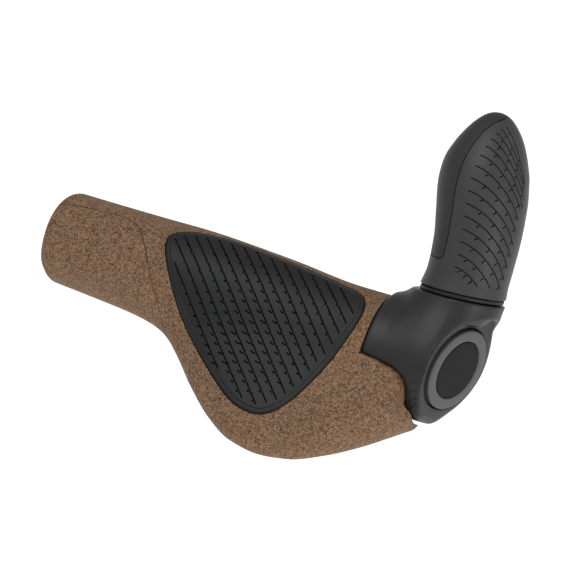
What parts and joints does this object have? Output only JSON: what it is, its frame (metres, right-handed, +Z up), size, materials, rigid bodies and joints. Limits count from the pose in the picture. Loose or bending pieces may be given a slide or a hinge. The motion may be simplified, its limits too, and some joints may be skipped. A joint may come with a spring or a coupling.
{
  "type": "handlebar grip with bar end",
  "caption": "Right-hand ergonomic handlebar grip with a winged palm rest, grooved pad and a clamp-on bar end horn whose angle can be set.",
  "frame": {"origin": "on the handlebar axis at the mouth of the bore, in the plane of the core's inner end face", "axes": "+X along the handlebar from the inner end to the outer end, +Y forward away from the rider, +Z up; the palm wing reaches back and down and the horn stands up and forward"},
  "size_m": [0.1487, 0.0985, 0.0853],
  "materials": {
    "cork": "cork compound, fine dark and pale speckle, matt",
    "nylon": "moulded fibre-reinforced nylon, matt",
    "pad_rubber": "grooved soft rubber, matt",
    "clamp_resin": "fine satin moulded resin",
    "trim_black": "matt moulded",
    "horn_rubber": "soft rubber with cut grooves",
    "panel_rubber": "smooth satin rubber",
    "cap_grey": "satin moulded",
    "badge_black": "satin moulded, plain",
    "steel": "black oxide steel"
  },
  "bodies": {
    "grip": {"grip_core": "nylon", "cork_body": "cork", "palm_pad": "pad_rubber"},
    "bar_end": {"clamp_body": "clamp_resin", "trim_ring": "trim_black", "horn_sleeve": "horn_rubber", "thumb_panel": "panel_rubber", "clamp_nut": "steel"},
    "bolt_carriage": {"bolt_washer": "steel"},
    "bolt": {"clamp_bolt": "steel"},
    "cap": {"end_cap": "cap_grey", "cap_badge": "badge_black"}
  },
  "joints": [
    {"name": "bar_end_tilt", "type": "hinge", "parent": "grip", "child": "bar_end", "pos_m": [0.1143, 0, 0], "axis": [1, 0, 0], "range_deg": [-30, 0]},
    {"name": "bolt_out", "type": "slide", "parent": "bar_end", "child": "bolt_carriage", "axis": [0, -0.5, -0.866], "range_m": [0, 0.012]},
    {"name": "bolt_turn", "type": "hinge", "parent": "bolt_carriage", "child": "bolt", "pos_m": [0.1248, 0.01468, -0.00847], "axis": [0, -0.5, -0.866], "range_deg": [0, 5400]},
    {"name": "cap_pull", "type": "slide", "parent": "bar_end", "child": "cap", "axis": [0.9495, -0.3048, 0.075], "range_m": [0, 0.012]}
  ],
  "couplings": [
    {"joint": "bolt_turn", "follows": "bolt_out", "rad_per_m": 7854}
  ]
}
